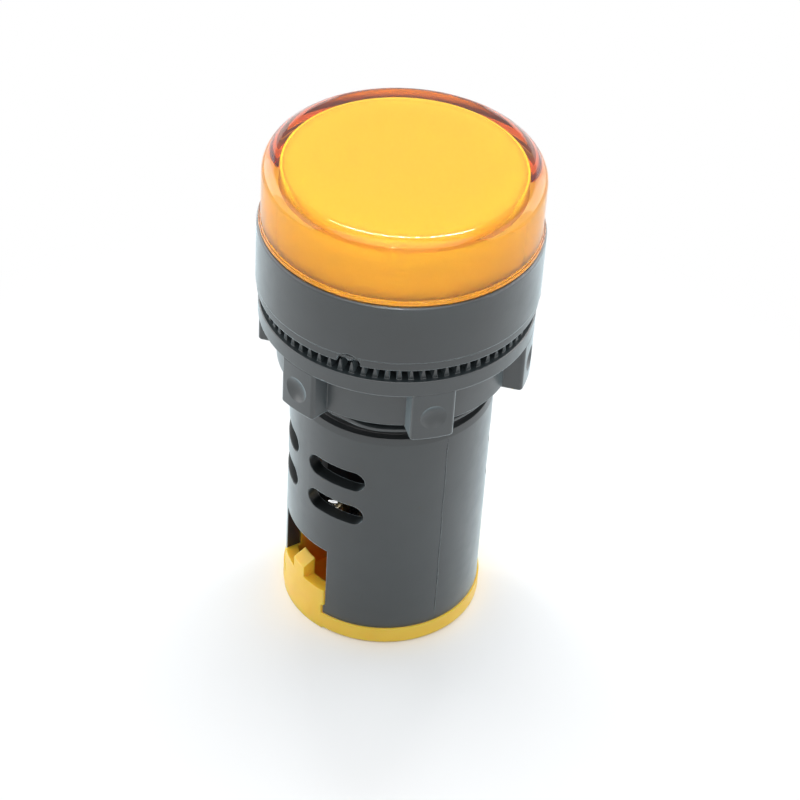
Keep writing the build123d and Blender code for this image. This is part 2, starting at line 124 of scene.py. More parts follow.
def mouldedPlastic(name, look):
    # thermoplastic from a spark-eroded mould: an even satin grain, slow flow marks, and a paler rub along its edges
    # that is partly wear and partly a painted highlight
    material, tree, place = startMaterial(name)
    flow = addNode(tree, "TexNoise", {"Scale": 1 / look["flowMm"], "Detail": 3.0}, {"Vector": place})
    share = addNode(tree, "MapRange", {"From Min": 0.35, "From Max": 0.65}, {"Value": flow})
    colour = addNode(tree, "Mix", {6: look["colour"], 7: look["flowColour"]}, {0: share}, data_type="RGBA")
    # the paler rub, partly wear and partly a painted edge highlight, shows where the rounded normal leaves the face's
    # own
    rounded = addNode(tree, "Bevel", {"Radius": look["edgeMm"] * mm}, samples=6)
    face = addNode(tree, "NewGeometry")
    along = addNode(tree, "VectorMath", {}, {0: rounded, 1: face.outputs["Normal"]}, operation="DOT_PRODUCT")
    edge = addNode(tree, "MapRange", {"From Min": mould["edgeStart"], "From Max": mould["edgeFull"]},
                   {"Value": along.outputs["Value"]})
    patch = addNode(tree, "TexNoise", {"Scale": 1 / mould["rubHighlightPatchMm"], "Detail": 2.0}, {"Vector": place})
    rubHighlightShare = addNode(tree, "MapRange", {"From Min": 0.35, "From Max": 0.7, "To Min": mould["rubHighlightLow"],
                                      "To Max": mould["rubHighlightHigh"]}, {"Value": patch})
    rubAndHighlight = addNode(tree, "Math", {}, {0: edge, 1: rubHighlightShare}, operation="MULTIPLY")
    colour = addNode(tree, "Mix", {7: look["rubAndHighlightColour"]}, {0: rubAndHighlight, 6: colour.outputs[2]}, data_type="RGBA")
    # a few specks of dust, about 0.1 mm across
    cells = addNode(tree, "TexVoronoi", {"Scale": 1 / look["dustMm"]}, {"Vector": place})
    speck = addNode(tree, "MapRange", {"From Min": mould["speckFull"], "From Max": mould["speckEnd"],
                                       "To Min": mould["speckShare"], "To Max": 0.0}, {"Value": cells})
    colour = addNode(tree, "Mix", {7: look["dustColour"]}, {0: speck, 6: colour.outputs[2]}, data_type="RGBA")
    # painted shade: the moulding's deeper faces are darker, or in the yellow a deeper orange that stands for the shaded
    # light bounced inside
    hollowShade = addNode(tree, "MapRange", {"From Min": look["hollowShadeFromMm"], "From Max": look["hollowShadeToMm"]},
                   {"Value": fromAxis(tree, place)})
    colour = addNode(tree, "Mix", {7: look["hollowShadeColour"]}, {0: hollowShade, 6: colour.outputs[2]}, data_type="RGBA")
    # above the windows no light reaches the inside
    parts = addNode(tree, "SeparateXYZ", {}, {0: place})
    shade = addNode(tree, "MapRange", {"From Min": look["shadeFromMm"], "From Max": look["shadeToMm"]},
                    {"Value": parts.outputs["Z"]})
    shade = addNode(tree, "Math", {}, {0: shade, 1: hollowShade}, operation="MULTIPLY")
    colour = addNode(tree, "Mix", {7: look["shadeColour"]}, {0: shade, 6: colour.outputs[2]}, data_type="RGBA")
    # the grain of about 0.03 mm is drawn coarser, so that it shows
    grain = addNode(tree, "TexNoise", {"Scale": 1 / look["grainMm"], "Detail": 2.0}, {"Vector": place})
    relief = addNode(tree, "Bump", {"Distance": look["grainDepthMm"] * mm}, {"Height": grain, "Normal": rounded})
    relief = addNode(tree, "Bump", {"Distance": look["flowDepthMm"] * mm}, {"Height": flow, "Normal": relief})
    gloss = addNode(tree, "TexNoise", {"Scale": 1 / look["patchMm"], "Detail": 3.0}, {"Vector": place})
    rough = addNode(tree, "MapRange", {"From Min": 0.3, "From Max": 0.7, "To Min": look["roughLow"],
                                       "To Max": look["roughHigh"]}, {"Value": gloss})
    surface = addNode(tree, "BsdfPrincipled",
                      {"IOR": look["ior"], "Subsurface Weight": look["scatter"], "Subsurface Scale": 1.0,
                       "Subsurface Radius": mould["reach"], "Specular IOR Level": look["specular"],
                       "Sheen Weight": look["sheen"], "Sheen Roughness": mould["sheenRough"],
                       "Sheen Tint": mould["sheenTint"]},
                      {"Base Color": colour.outputs[2], "Roughness": rough, "Normal": relief})
    addNode(tree, "OutputMaterial", {}, {"Surface": surface})
    return material


amberLook = {
    "absorb": "#FFF036", "density": 1100.0,  # per metre: 1.8 mm lets 77% of the green and 15% of the blue through
    "roughness": 0.012, "scratchRough": 0.05, "ior": 1.52, "waveMm": 5.0, "waveDepthMm": 0.0015,
    "scratchMm": 0.5, "insideMm": 12.45, "frostTopMm": 54.35, "frost": 0.5, "filmTopMm": 53.6, "film": 0.6,
}


def clearAmber(name, look):
    # polished acrylic, coloured through: deep orange where the eye looks along the wall, pale at thin edges
    material, tree, place = startMaterial(name)
    wave = addNode(tree, "TexNoise", {"Scale": 1 / look["waveMm"], "Detail": 1.0}, {"Vector": place})
    relief = addNode(tree, "Bump", {"Distance": look["waveDepthMm"] * mm}, {"Height": wave})
    scratch = addNode(tree, "TexNoise", {"Scale": 1 / look["scratchMm"], "Detail": 4.0}, {"Vector": place})
    haze = addNode(tree, "MapRange", {"From Min": 0.55, "From Max": 0.8, "To Min": look["roughness"],
                                      "To Max": look["roughness"] + look["scratchRough"]}, {"Value": scratch})
    # the inside is frosted in the mould, and its wall is slightly milky, so that the rim glows
    parts = addNode(tree, "SeparateXYZ", {}, {0: place})
    inside = addNode(tree, "Math", {1: look["insideMm"]}, {0: fromAxis(tree, place)}, operation="LESS_THAN")
    under = addNode(tree, "Math", {1: look["frostTopMm"]}, {0: parts.outputs["Z"]}, operation="LESS_THAN")
    frosted = addNode(tree, "Math", {}, {0: inside, 1: under}, operation="MULTIPLY")
    frost = addNode(tree, "Math", {1: look["frost"]}, {0: frosted}, operation="MULTIPLY")
    haze = addNode(tree, "Math", {}, {0: haze, 1: frost}, operation="MAXIMUM")
    lower = addNode(tree, "Math", {1: look["filmTopMm"]}, {0: parts.outputs["Z"]}, operation="LESS_THAN")
    film = addNode(tree, "Math", {}, {0: inside, 1: lower}, operation="MULTIPLY")
    clear = addNode(tree, "MapRange", {"To Min": 1.0, "To Max": 1.0 - look["film"]}, {"Value": film})
    surface = addNode(tree, "BsdfPrincipled",
                      {"Base Color": "#FFFFFF", "IOR": look["ior"]},
                      {"Roughness": haze, "Normal": relief, "Transmission Weight": clear})
    body = addNode(tree, "VolumeAbsorption", {"Color": look["absorb"], "Density": look["density"]})
    addNode(tree, "OutputMaterial", {}, {"Surface": surface, "Volume": body})
    return material


opalLook = {
    "colour": "#FFF5D4", "dishColour": "#FFF1CE", "sideColour": "#FFD297", "footColour": "#FFBE82",
    "cloudColour": "#F8E4A8", "cloudMm": 2.5, "cloudShare": 0.12, "grainMm": 0.3, "grainDepthMm": 0.003,
    "roughness": 0.45, "ior": 1.45, "scatter": 0.25, "dishMm": 9.3, "rimMm": 11.3, "softMm": 0.5, "topMm": 53.9,
    "middleMm": 51.6, "lowMm": 47.8,
}


def opalPlastic(name, look):
    # milky silicone cup: an even, slightly cloudy yellow white, warmer down its side and in the dish of its top
    material, tree, place = startMaterial(name)
    parts = addNode(tree, "SeparateXYZ", {}, {0: place})
    radius = fromAxis(tree, place)
    dish = addNode(tree, "MapRange",
                   {"From Min": look["dishMm"] - look["softMm"], "From Max": look["dishMm"] + look["softMm"],
                    "To Min": 1.0, "To Max": 0.0}, {"Value": radius})
    colour = addNode(tree, "Mix", {6: look["colour"], 7: look["dishColour"]}, {0: dish}, data_type="RGBA")
    edge = addNode(tree, "MapRange", {"From Min": look["rimMm"], "From Max": look["rimMm"] + look["softMm"]},
                   {"Value": radius})
    side = addNode(tree, "MapRange", {"From Min": look["topMm"], "From Max": look["middleMm"]},
                   {"Value": parts.outputs["Z"]})
    side = addNode(tree, "Math", {}, {0: side, 1: edge}, operation="MAXIMUM")
    colour = addNode(tree, "Mix", {7: look["sideColour"]}, {0: side, 6: colour.outputs[2]}, data_type="RGBA")
    foot = addNode(tree, "MapRange", {"From Min": look["middleMm"], "From Max": look["lowMm"]},
                   {"Value": parts.outputs["Z"]})
    colour = addNode(tree, "Mix", {7: look["footColour"]}, {0: foot, 6: colour.outputs[2]}, data_type="RGBA")
    cloud = addNode(tree, "TexNoise", {"Scale": 1 / look["cloudMm"], "Detail": 3.0}, {"Vector": place})
    share = addNode(tree, "MapRange", {"From Min": 0.3, "From Max": 0.7, "To Max": look["cloudShare"]},
                    {"Value": cloud})
    colour = addNode(tree, "Mix", {7: look["cloudColour"]}, {0: share, 6: colour.outputs[2]}, data_type="RGBA")
    grain = addNode(tree, "TexNoise", {"Scale": 1 / look["grainMm"], "Detail": 2.0}, {"Vector": place})
    relief = addNode(tree, "Bump", {"Distance": look["grainDepthMm"] * mm}, {"Height": grain})
    surface = addNode(tree, "BsdfPrincipled",
                      {"Roughness": look["roughness"], "IOR": look["ior"], "Subsurface Weight": look["scatter"],
                       "Subsurface Radius": (0.0012, 0.0010, 0.0006), "Subsurface Scale": 1.0},
                      {"Base Color": colour.outputs[2], "Normal": relief})
    addNode(tree, "OutputMaterial", {}, {"Surface": surface})
    return material


sealLook = {"colour": "#F6EEDC", "cloudColour": "#EBDFC4", "cloudMm": 1.5, "cloudDepthMm": 0.004, "roughness": 0.5,
            "ior": 1.43, "scatter": 0.3}


def milkySilicone(name, look):
    # soft moulded silicone: a cloudy cream that takes light in and spreads it
    material, tree, place = startMaterial(name)
    cloud = addNode(tree, "TexNoise", {"Scale": 1 / look["cloudMm"], "Detail": 3.0}, {"Vector": place})
    share = addNode(tree, "MapRange", {"From Min": 0.35, "From Max": 0.7}, {"Value": cloud})
    colour = addNode(tree, "Mix", {6: look["colour"], 7: look["cloudColour"]}, {0: share}, data_type="RGBA")
    relief = addNode(tree, "Bump", {"Distance": look["cloudDepthMm"] * mm}, {"Height": cloud})
    surface = addNode(tree, "BsdfPrincipled",
                      {"Roughness": look["roughness"], "IOR": look["ior"], "Subsurface Weight": look["scatter"],
                       "Subsurface Radius": (0.0010, 0.0009, 0.0007), "Subsurface Scale": 1.0},
                      {"Base Color": colour.outputs[2], "Normal": relief})
    addNode(tree, "OutputMaterial", {}, {"Surface": surface})
    return material


rubberLook = {"colour": "#151617", "bloomColour": "#28292B", "bloomMm": 1.2, "grainMm": 0.2, "grainDepthMm": 0.01,
              "roughness": 0.72, "ior": 1.52}


def mouldedRubber(name, look):
    # nitrile rubber: matt, with a faint grey bloom
    material, tree, place = startMaterial(name)
    bloom = addNode(tree, "TexNoise", {"Scale": 1 / look["bloomMm"], "Detail": 4.0}, {"Vector": place})
    share = addNode(tree, "MapRange", {"From Min": 0.45, "From Max": 0.75, "To Max": 0.6}, {"Value": bloom})
    colour = addNode(tree, "Mix", {6: look["colour"], 7: look["bloomColour"]}, {0: share}, data_type="RGBA")
    grain = addNode(tree, "TexNoise", {"Scale": 1 / look["grainMm"], "Detail": 3.0}, {"Vector": place})
    relief = addNode(tree, "Bump", {"Distance": look["grainDepthMm"] * mm}, {"Height": grain})
    surface = addNode(tree, "BsdfPrincipled", {"Roughness": look["roughness"], "IOR": look["ior"]},
                      {"Base Color": colour.outputs[2], "Normal": relief})
    addNode(tree, "OutputMaterial", {}, {"Surface": surface})
    return material


laminateLook = {"resist": "#0B0D11", "track": "#16191F", "weaveMm": 1.35, "weaveDepthMm": 0.004, "trackMm": 2.4,
                "trackDepthMm": 0.03, "roughness": 0.55, "ior": 1.55}


def circuitLaminate(name, look):
    # epoxy glass board under black resist: a fine woven relief, and paler raised tracks where copper lies beneath
    material, tree, place = startMaterial(name)
    parts = addNode(tree, "SeparateXYZ", {}, {0: place})
    warp = addNode(tree, "TexWave", {"Scale": 1 / look["weaveMm"], "Distortion": 0.3}, {"Vector": place},
                   bands_direction="X")
    weft = addNode(tree, "TexWave", {"Scale": 1 / look["weaveMm"], "Distortion": 0.3}, {"Vector": place},
                   bands_direction="Z")
    cloth = addNode(tree, "Math", {}, {0: warp.outputs["Fac"], 1: weft.outputs["Fac"]}, operation="MAXIMUM")
    lane = addNode(tree, "Math", {1: look["trackMm"] / 2}, {0: parts.outputs["X"]}, operation="PINGPONG")
    track = addNode(tree, "MapRange", {"From Min": 0.80, "From Max": 0.92}, {"Value": lane})
    colour = addNode(tree, "Mix", {6: look["resist"], 7: look["track"]}, {0: track}, data_type="RGBA")
    relief = addNode(tree, "Bump", {"Distance": look["trackDepthMm"] * mm}, {"Height": track})
    relief = addNode(tree, "Bump", {"Distance": look["weaveDepthMm"] * mm}, {"Height": cloth, "Normal": relief})
    surface = addNode(tree, "BsdfPrincipled", {"Roughness": look["roughness"], "IOR": look["ior"]},
                      {"Base Color": colour.outputs[2], "Normal": relief})
    addNode(tree, "OutputMaterial", {}, {"Surface": surface})
    return material


phosphorLook = {"colour": "#E9C64A", "grainColour": "#F6E08A", "grainMm": 0.12, "grainDepthMm": 0.01, "roughness": 0.6}


def phosphorChip(name, look):
    # phosphor in clear resin on the light emitting chips: warm yellow with paler grains
    material, tree, place = startMaterial(name)
    cells = addNode(tree, "TexVoronoi", {"Scale": 1 / look["grainMm"]}, {"Vector": place})
    grain = addNode(tree, "MapRange", {"From Min": 0.1, "From Max": 0.5, "To Min": 1.0, "To Max": 0.0},
                    {"Value": cells})
    colour = addNode(tree, "Mix", {6: look["colour"], 7: look["grainColour"]}, {0: grain}, data_type="RGBA")
    relief = addNode(tree, "Bump", {"Distance": look["grainDepthMm"] * mm}, {"Height": grain})
    surface = addNode(tree, "BsdfPrincipled", {"Roughness": look["roughness"]},
                      {"Base Color": colour.outputs[2], "Normal": relief})
    addNode(tree, "OutputMaterial", {}, {"Surface": surface})
    return material


rippleDepthMm = 0.01  # of the four coats and the lacquer
epoxyLook = {"colour": "#151617", "flowColour": "#202224", "rippleMm": 0.15, "roughness": 0.55, "ior": 1.55}
sleeveLook = {"colour": "#0D1830", "flowColour": "#152344", "rippleMm": 0.9, "roughness": 0.30, "ior": 1.54}
redLeadLook = {"colour": "#8E1411", "flowColour": "#7C100E", "rippleMm": 0.6, "roughness": 0.35, "ior": 1.53}
blackLeadLook = {"colour": "#1A1A1B", "flowColour": "#232324", "rippleMm": 0.6, "roughness": 0.35, "ior": 1.53}


def smoothCoat(name, look):
    # cast epoxy, shrunk sleeve or extruded insulation, told apart by colour, gloss and the size of their ripples
    material, tree, place = startMaterial(name)
    ripple = addNode(tree, "TexNoise", {"Scale": 1 / look["rippleMm"], "Detail": 3.0}, {"Vector": place})
    share = addNode(tree, "MapRange", {"From Min": 0.3, "From Max": 0.7}, {"Value": ripple})
    colour = addNode(tree, "Mix", {6: look["colour"], 7: look["flowColour"]}, {0: share}, data_type="RGBA")
    relief = addNode(tree, "Bump", {"Distance": rippleDepthMm * mm}, {"Height": ripple})
    surface = addNode(tree, "BsdfPrincipled", {"Roughness": look["roughness"], "IOR": look["ior"]},
                      {"Base Color": colour.outputs[2], "Normal": relief})
    addNode(tree, "OutputMaterial", {}, {"Surface": surface})
    return material


lacquerLook = {"colour": "#7FB3C4", "bands": "#5B3A1E", "bandMm": 1.2, "lowMm": 25.6, "rippleMm": 0.5,
               "roughness": 0.25}


def dippedLacquer(name, look):
    # dipped lacquer on the resistors: pale blue with brown rings round them
    material, tree, place = startMaterial(name)
    parts = addNode(tree, "SeparateXYZ", {}, {0: place})
    above = addNode(tree, "Math", {1: look["lowMm"]}, {0: parts.outputs["Z"]}, operation="SUBTRACT")
    lane = addNode(tree, "Math", {1: look["bandMm"] / 2}, {0: above}, operation="PINGPONG")
    ring = addNode(tree, "MapRange", {"From Min": 0.40, "From Max": 0.44}, {"Value": lane})
    colour = addNode(tree, "Mix", {6: look["colour"], 7: look["bands"]}, {0: ring}, data_type="RGBA")
    ripple = addNode(tree, "TexNoise", {"Scale": 1 / look["rippleMm"], "Detail": 2.0}, {"Vector": place})
    relief = addNode(tree, "Bump", {"Distance": rippleDepthMm * mm}, {"Height": ripple})
    surface = addNode(tree, "BsdfPrincipled", {"Roughness": look["roughness"]},
                      {"Base Color": colour.outputs[2], "Normal": relief})
    addNode(tree, "OutputMaterial", {}, {"Surface": surface})
    return material


lineDepthMm = 0.004  # of the drawn lines
brassLook = {"colour": "#E8D8B0", "dullColour": "#BFA56E", "lineMm": 0.12, "roughLow": 0.16, "roughHigh": 0.30,
             "stretch": (1.0, 1.0, 0.04), "filmMm": 1.1, "edgeMm": 0.08}
clampLook = {"colour": "#C9CCCB", "dullColour": "#9A9E9E", "lineMm": 0.15, "roughLow": 0.25, "roughHigh": 0.42,
             "stretch": (0.05, 1.0, 1.0), "filmMm": 1.1, "edgeMm": 0.08}
screwLook = {"colour": "#D3D3CE", "dullColour": "#A3A39C", "lineMm": 0.12, "roughLow": 0.20, "roughHigh": 0.38,
             "stretch": (1.0, 1.0, 0.3), "filmMm": 0.9, "edgeMm": 0.08}
solderLook = {"colour": "#E4E5E6", "dullColour": "#C6C8CA", "lineMm": 0.8, "roughLow": 0.10, "roughHigh": 0.16,
              "stretch": (1.0, 1.0, 1.0), "filmMm": 0.5, "edgeMm": 0.05}


def workedMetal(name, look):
    # rolled brass, zinc-plated steel or set solder: fine drawn lines, a dull film in patches, and soft stamped edges
    material, tree, place = startMaterial(name)
    drawn = addNode(tree, "Mapping", {"Scale": look["stretch"]}, {"Vector": place})
    lines = addNode(tree, "TexNoise", {"Scale": 1 / look["lineMm"], "Detail": 3.0}, {"Vector": drawn})
    patch = addNode(tree, "TexNoise", {"Scale": 1 / look["filmMm"], "Detail": 4.0}, {"Vector": place})
    film = addNode(tree, "MapRange", {"From Min": 0.4, "From Max": 0.7, "To Max": 0.7}, {"Value": patch})
    colour = addNode(tree, "Mix", {6: look["colour"], 7: look["dullColour"]}, {0: film}, data_type="RGBA")
    rounded = addNode(tree, "Bevel", {"Radius": look["edgeMm"] * mm}, samples=4)
    relief = addNode(tree, "Bump", {"Distance": lineDepthMm * mm}, {"Height": lines, "Normal": rounded})
    rough = addNode(tree, "MapRange", {"From Min": 0.3, "From Max": 0.7, "To Min": look["roughLow"],
                                       "To Max": look["roughHigh"]}, {"Value": lines})
    surface = addNode(tree, "BsdfPrincipled", {"Metallic": 1.0},
                      {"Base Color": colour.outputs[2], "Roughness": rough, "Normal": relief})
    addNode(tree, "OutputMaterial", {}, {"Surface": surface})
    return material


housingAbs = mouldedPlastic("satin black moulded ABS", absLook)
nutPolyamide = mouldedPlastic("black moulded polyamide", nutLook)
yellowPolyester = mouldedPlastic("yellow moulded polyester", yellowLook)
amberAcrylic = clearAmber("clear amber acrylic", amberLook)
opalSilicone = opalPlastic("milky silicone", opalLook)
creamSilicone = milkySilicone("cream moulded silicone", sealLook)
blackRubber = mouldedRubber("black nitrile rubber", rubberLook)
blackLaminate = circuitLaminate("black glass laminate", laminateLook)
rolledBrass = workedMetal("rolled brass", brassLook)
platedClamp = workedMetal("zinc-plated stamped steel", clampLook)
platedScrew = workedMetal("zinc-plated turned steel", screwLook)
setSolder = workedMetal("bright set solder", solderLook)

finishes = {
    "housing": housingAbs,
    "lens_cap": amberAcrylic,
    "diffuser": opalSilicone,
    "lens_seal": creamSilicone,
    "lamp_board": blackLaminate,
    "lamp_chips": phosphorChip("yellow phosphor resin", phosphorLook),
    "terminal_carrier": yellowPolyester,
    "supply_board": blackLaminate,
    "bridge_rectifier": smoothCoat("black cast epoxy", epoxyLook),
    "smoothing_capacitor": smoothCoat("dark shrunk sleeve", sleeveLook),
    "dropping_resistors": dippedLacquer("dipped blue lacquer", lacquerLook),
    "lead_positive": smoothCoat("red soft PVC", redLeadLook),
    "lead_negative": smoothCoat("black soft PVC", blackLeadLook),
    "panel_gasket": blackRubber,
    "lock_nut": nutPolyamide,
    "terminal_plate_right": rolledBrass,
    "terminal_plate_left": rolledBrass,
    "clamp_washer_right": platedClamp,
    "clamp_washer_left": platedClamp,
    "terminal_screw_right": platedScrew,
    "terminal_screw_left": platedScrew,
}
for nodeName, finish in finishes.items():
    node = nodes[nodeName]
    node.data.materials.clear()
    node.data.materials.append(finish)
print("materials made,", len(bpy.data.materials))


# Meshes from number grids

def roundedSection(corners, steps=8):
    # a section's corners (radius, height, rounding) in mm: each rounded corner becomes an arc that turns evenly
    # between the points where it touches its two sides
    points = np.array([c[:2] for c in corners], float)
    parts = []
    for i, corner in enumerate(corners):
        size = corner[2] if len(corner) > 2 else 0
        if not size:
            parts.append(points[i:i + 1])
            continue
        back = points[i - 1] - points[i]
        on = points[(i + 1) % len(points)] - points[i]
        back /= np.linalg.norm(back)
        on /= np.linalg.norm(on)
        half = math.acos(float(back @ on)) / 2
        middle = points[i] + (back + on) / np.linalg.norm(back + on) * size / math.sin(half)
        first = points[i] + back * size / math.tan(half) - middle
        last = points[i] + on * size / math.tan(half) - middle
        turn = math.pi - 2 * half
        share = np.linspace(0, 1, steps + 1)[:, None]
        parts.append(middle + (np.sin((1 - share) * turn) * first + np.sin(share * turn) * last) / math.sin(turn))
    return np.vstack(parts)


def gridMesh(name, grid, roundRows=False, roundColumns=False, sharpDegrees=32):
    # a grid of points in mm as quads between neighbouring rows and columns; doubles at poles are merged,
    # open ends are closed, and faces are turned outwards
    rows, columns = grid.shape[:2]
    index = np.arange(rows * columns).reshape(rows, columns)
    below = np.roll(index, -1, 0)
    beside = np.roll(index, -1, 1)
    quads = np.stack([index, beside, np.roll(below, -1, 1), below], -1)
    quads = quads if roundRows else quads[:-1]
    quads = quads if roundColumns else quads[:, :-1]
    faces = quads.reshape(-1, 4).tolist()
    if roundColumns and not roundRows:
        faces += [index[0].tolist(), index[-1].tolist()]
    mesh = bpy.data.meshes.new(name)
    mesh.from_pydata((grid.reshape(-1, 3) * mm).tolist(), [], faces)
    work = bmesh.new()
    work.from_mesh(mesh)
    bmesh.ops.remove_doubles(work, verts=work.verts, dist=1e-7)
    bmesh.ops.recalc_face_normals(work, faces=work.faces)
    work.to_mesh(mesh)
    work.free()
    mesh.polygons.foreach_set("use_smooth", [True] * len(mesh.polygons))
    mesh.set_sharp_from_angle(angle=math.radians(sharpDegrees))
    return mesh


def turnedGrid(section, count):
    # the section turned about Z: x = r cos a, y = r sin a, z = h, with one row for each angle a
    angle = np.arange(count)[:, None] * 2 * np.pi / count
    radius, height = section[:, 0][None], section[:, 1][None]
    return np.stack([radius * np.cos(angle), radius * np.sin(angle), height + 0 * angle], -1)


def addPiece(mesh, finish, body, slotName, *replaced):
    # the mesh as a piece of the object, riding on its body
    piece = bpy.data.objects.new(mesh.name, mesh)
    scene.collection.objects.link(piece)
    mesh.materials.append(finish)
    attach(piece, body)
    if replaced:
        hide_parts(*replaced)


# Lens cap

lens = {"topMm": 55.7, "ceilingMm": 54.3, "radiusMm": 14.1, "innerMm": 12.3, "roundMm": 1.6, "innerRoundMm": 0.5,
        "lipMm": 14.32, "lipTopMm": 48.85, "lipRoundMm": 0.11, "lipFootMm": 0.12, "seatMm": 48.53, "seatRoundMm": 0.05,
        "skirtMm": 13.0, "skirtLowMm": 45.5, "skirtRoundMm": 0.15, "midShare": 0.5, "arcSteps": 12, "segments": 288}


def makeLens():
    # a deep cap with a rounded rim, turned from one closed section
    section = roundedSection([
        (0, lens["topMm"]),
        (lens["radiusMm"] * lens["midShare"], lens["topMm"]),
        (lens["radiusMm"], lens["topMm"], lens["roundMm"]),
        (lens["radiusMm"], lens["lipTopMm"], lens["lipFootMm"]),
        (lens["lipMm"], lens["lipTopMm"], lens["lipRoundMm"]),
        (lens["lipMm"], lens["seatMm"], lens["seatRoundMm"]),
        (lens["skirtMm"], lens["seatMm"], lens["seatRoundMm"]),
        (lens["skirtMm"], lens["skirtLowMm"], lens["skirtRoundMm"]),
        (lens["innerMm"], lens["skirtLowMm"], lens["skirtRoundMm"]),
        (lens["innerMm"], lens["ceilingMm"], lens["innerRoundMm"]),
        (lens["innerMm"] * lens["midShare"], lens["ceilingMm"]),
        (0, lens["ceilingMm"]),
    ], lens["arcSteps"])
    mesh = gridMesh("lens_shell", turnedGrid(section, lens["segments"]), roundRows=True)
    addPiece(mesh, amberAcrylic, "housing", "amber_lens", "lens_cap")


makeLens()

footBead = {"innerMm": 13.02, "outerMm": 13.6, "lowMm": 48.38, "highMm": 48.51, "roundMm": 0.04, "arcSteps": 4,
            "segments": 288}


def makeFootBead():
    # the flat silicone bead that seals the lens cap's foot on the bezel, turned from a rounded rectangle
    section = roundedSection([
        (footBead["innerMm"], footBead["lowMm"], footBead["roundMm"]),
        (footBead["outerMm"], footBead["lowMm"], footBead["roundMm"]),
        (footBead["outerMm"], footBead["highMm"], footBead["roundMm"]),
        (footBead["innerMm"], footBead["highMm"], footBead["roundMm"]),
    ], footBead["arcSteps"])
    mesh = gridMesh("foot_seal_bead", turnedGrid(section, footBead["segments"]), roundRows=True, roundColumns=True)
    addPiece(mesh, creamSilicone, "housing", "seal_silicone")


makeFootBead()


# Diffuser

cup = {"radiusMm": 12.0, "topMm": 54.2, "lowMm": 44.8, "wallMm": 1.0, "roundMm": 0.6, "dishRadiusMm": 9.6,
       "dishStepMm": 0.7, "dishDepthMm": 0.25, "dishRoundMm": 0.8, "insideRoundMm": 0.4, "segments": 192}


def makeDiffuser():
    # an upturned cup with a shallow dish in its top
    inner = cup["radiusMm"] - cup["wallMm"]
    section = roundedSection([
        (0, cup["topMm"] - cup["dishDepthMm"]),
        (cup["dishRadiusMm"] - cup["dishStepMm"], cup["topMm"] - cup["dishDepthMm"], cup["dishRoundMm"]),
        (cup["dishRadiusMm"], cup["topMm"], cup["dishRoundMm"]),
        (cup["radiusMm"], cup["topMm"], cup["roundMm"]),
        (cup["radiusMm"], cup["lowMm"]),
        (inner, cup["lowMm"]),
        (inner, cup["topMm"] - cup["wallMm"] - cup["dishDepthMm"], cup["insideRoundMm"]),
        (0, cup["topMm"] - cup["wallMm"] - cup["dishDepthMm"]),
    ])
    mesh = gridMesh("diffuser_cup", turnedGrid(section, cup["segments"]), roundRows=True)
    addPiece(mesh, opalSilicone, "housing", "milky_diffuser", "diffuser")


makeDiffuser()
print("lens and diffuser made")


# Threads of the neck and the nut

neckThread = {"rootMm": 10.15, "crestMm": 10.98, "pitchMm": 1.5, "crestWidthMm": 0.36, "flankMm": 0.22,
              "lowMm": 30.05, "highMm": 40.35, "crestAtMm": 30.2, "crestAtDegrees": -125.0, "sinkMm": 0.08,
              "runOutDegrees": 30.0}
nutThread = {"rootMm": 11.03, "crestMm": 10.75, "pitchMm": 1.5, "crestWidthMm": 0.25, "flankMm": 0.20,
             "lowMm": 32.4, "highMm": 38.8, "crestAtMm": 30.9, "crestAtDegrees": -125.0, "sinkMm": -0.08,
             "runOutDegrees": 60.0}
# both crests: steps along the helix, how far the corners are rounded off, down and across
crest = {"stepDegrees": 3, "softShare": 0.18, "outsideMm": 0.06, "insideMm": 0.05}


def helixGrid(thread):
    # a ridge carried along a helix: height = pitch x angle / 360 degrees, and the section is a crest between two
    # flanks, whose reach grows from nothing and falls back to nothing over the run-out
    first = (thread["lowMm"] - thread["crestAtMm"]) / thread["pitchMm"] * 360 + thread["crestAtDegrees"]
    last = (thread["highMm"] - thread["crestAtMm"]) / thread["pitchMm"] * 360 + thread["crestAtDegrees"]
    degrees = np.linspace(first, last, int((last - first) / crest["stepDegrees"]))[:, None]
    level = thread["crestAtMm"] + (degrees - thread["crestAtDegrees"]) / 360 * thread["pitchMm"]
    grown = np.clip(np.minimum(degrees - first, last - degrees) / thread["runOutDegrees"], 0, 1)
    grown = grown * grown * (3 - 2 * grown)
    root, top = thread["rootMm"], thread["crestMm"]
    half = thread["crestWidthMm"] / 2
    foot, outside, inside = half + thread["flankMm"], half + crest["outsideMm"], half - crest["insideMm"]
    soft = crest["softShare"] * (top - root)
    radius = np.array([root, top - soft, top, top, top - soft, root])[None]
    radius = root + (radius - root) * grown
    offset = np.array([-foot, -outside, -inside, inside, outside, foot])[None] + 0 * level
    buried = np.full_like(level, root - thread["sinkMm"])
    radius = np.hstack([buried, radius, buried])
    offset = np.hstack([offset[:, :1], offset, offset[:, -1:]])
    angle = np.radians(degrees)
    return np.stack([radius * np.cos(angle), radius * np.sin(angle), level + offset], -1)


addPiece(gridMesh("neck_thread", helixGrid(neckThread), roundColumns=True), housingAbs, "housing", "black_abs")
addPiece(gridMesh("nut_thread", helixGrid(nutThread), roundColumns=True), nutPolyamide, "nut", "nut_plastic")


# Moulding marks: the barrel's two parting lines and the ragged line under the bezel

